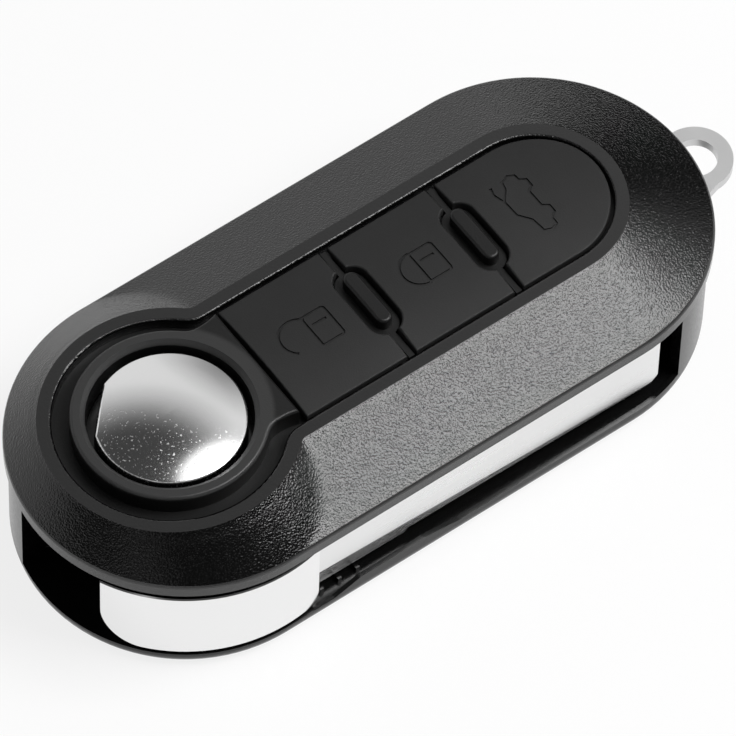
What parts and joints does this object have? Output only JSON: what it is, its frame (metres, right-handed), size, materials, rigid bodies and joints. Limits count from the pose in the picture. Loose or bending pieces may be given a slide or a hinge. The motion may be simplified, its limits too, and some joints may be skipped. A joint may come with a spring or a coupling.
{
  "type": "flip key remote shell",
  "caption": "Round-ended folding car key with a remote control: a blade that flips out of a side slot, a sprung release button in a raised ring, rubber keys and a ring loop.",
  "frame": {"origin": "on the flat back face, under the centre of the round hinge end", "axes": "+X runs from the hinge end to the key ring end, +Z from the back face up to the keys, and the blade's slot faces -Y"},
  "size_m": [0.0778, 0.0328, 0.019],
  "materials": {
    "case_plastic": "fine-grained dark grey moulding",
    "frame_plastic": "dark satin moulding",
    "key_rubber": "soft matt rubber",
    "inner_plastic": "plain moulding",
    "head_chrome": "polished plating",
    "button_chrome": "satin plating",
    "blade_steel": "bright rolled steel",
    "loop_steel": "stamped plate",
    "screw_steel": "turned steel",
    "spring_steel": "drawn wire",
    "can_steel": "nickel-plated steel",
    "board_laminate": "lacquered laminate",
    "chip_plastic": "moulded package",
    "stem_plastic": "plain moulding",
    "contact_brass": "spring strip",
    "coil_wire": "enamelled winding"
  },
  "bodies": {
    "case": {"upper_cover": "case_plastic", "lower_shell": "case_plastic", "keypad_frame": "frame_plastic", "mechanism_plate": "inner_plastic", "plate_screws": "screw_steel", "case_screws": "screw_steel", "release_spring": "spring_steel", "pivot_pin": "screw_steel", "pivot_washer": "inner_plastic", "flip_spring": "spring_steel", "spring_cap": "inner_plastic", "circuit_board": "board_laminate", "controller_chip": "chip_plastic", "crystal": "can_steel", "aerial_coil": "coil_wire", "transponder_chip": "chip_plastic", "coin_cell": "can_steel", "negative_contact": "contact_brass", "positive_contact": "contact_brass", "key_ring_loop": "loop_steel", "unlock_switch": "can_steel", "lock_switch": "can_steel", "boot_switch": "can_steel"},
    "blade_unit": {"blade_head": "head_chrome", "blade": "blade_steel", "blade_roll_pin": "spring_steel"},
    "button_unit": {"release_button": "button_chrome"},
    "unlock_unit": {"unlock_key": "key_rubber", "unlock_switch_stem": "stem_plastic"},
    "lock_unit": {"lock_key": "key_rubber", "lock_switch_stem": "stem_plastic"},
    "boot_unit": {"boot_key": "key_rubber", "boot_switch_stem": "stem_plastic"}
  },
  "joints": [
    {"name": "blade_flip", "type": "hinge", "parent": "case", "child": "blade_unit", "pos_m": [-0.0052, -0.0068, 0], "axis": [0, 0, -1], "range_deg": [0, 180], "deforming": ["flip_spring"]},
    {"name": "release_press", "type": "slide", "parent": "case", "child": "button_unit", "axis": [0, 0, -1], "range_m": [0, 0.0012], "stiffness_N_per_m": 1000, "springref_m": -0.001, "deforming": ["release_spring"]},
    {"name": "unlock_press", "type": "slide", "parent": "case", "child": "unlock_unit", "axis": [0, 0, -1], "range_m": [0, 0.0005], "stiffness_N_per_m": 3000, "springref_m": -0.0003},
    {"name": "lock_press", "type": "slide", "parent": "case", "child": "lock_unit", "axis": [0, 0, -1], "range_m": [0, 0.0005], "stiffness_N_per_m": 3000, "springref_m": -0.0003},
    {"name": "boot_press", "type": "slide", "parent": "case", "child": "boot_unit", "axis": [0, 0, -1], "range_m": [0, 0.0005], "stiffness_N_per_m": 3000, "springref_m": -0.0003}
  ]
}
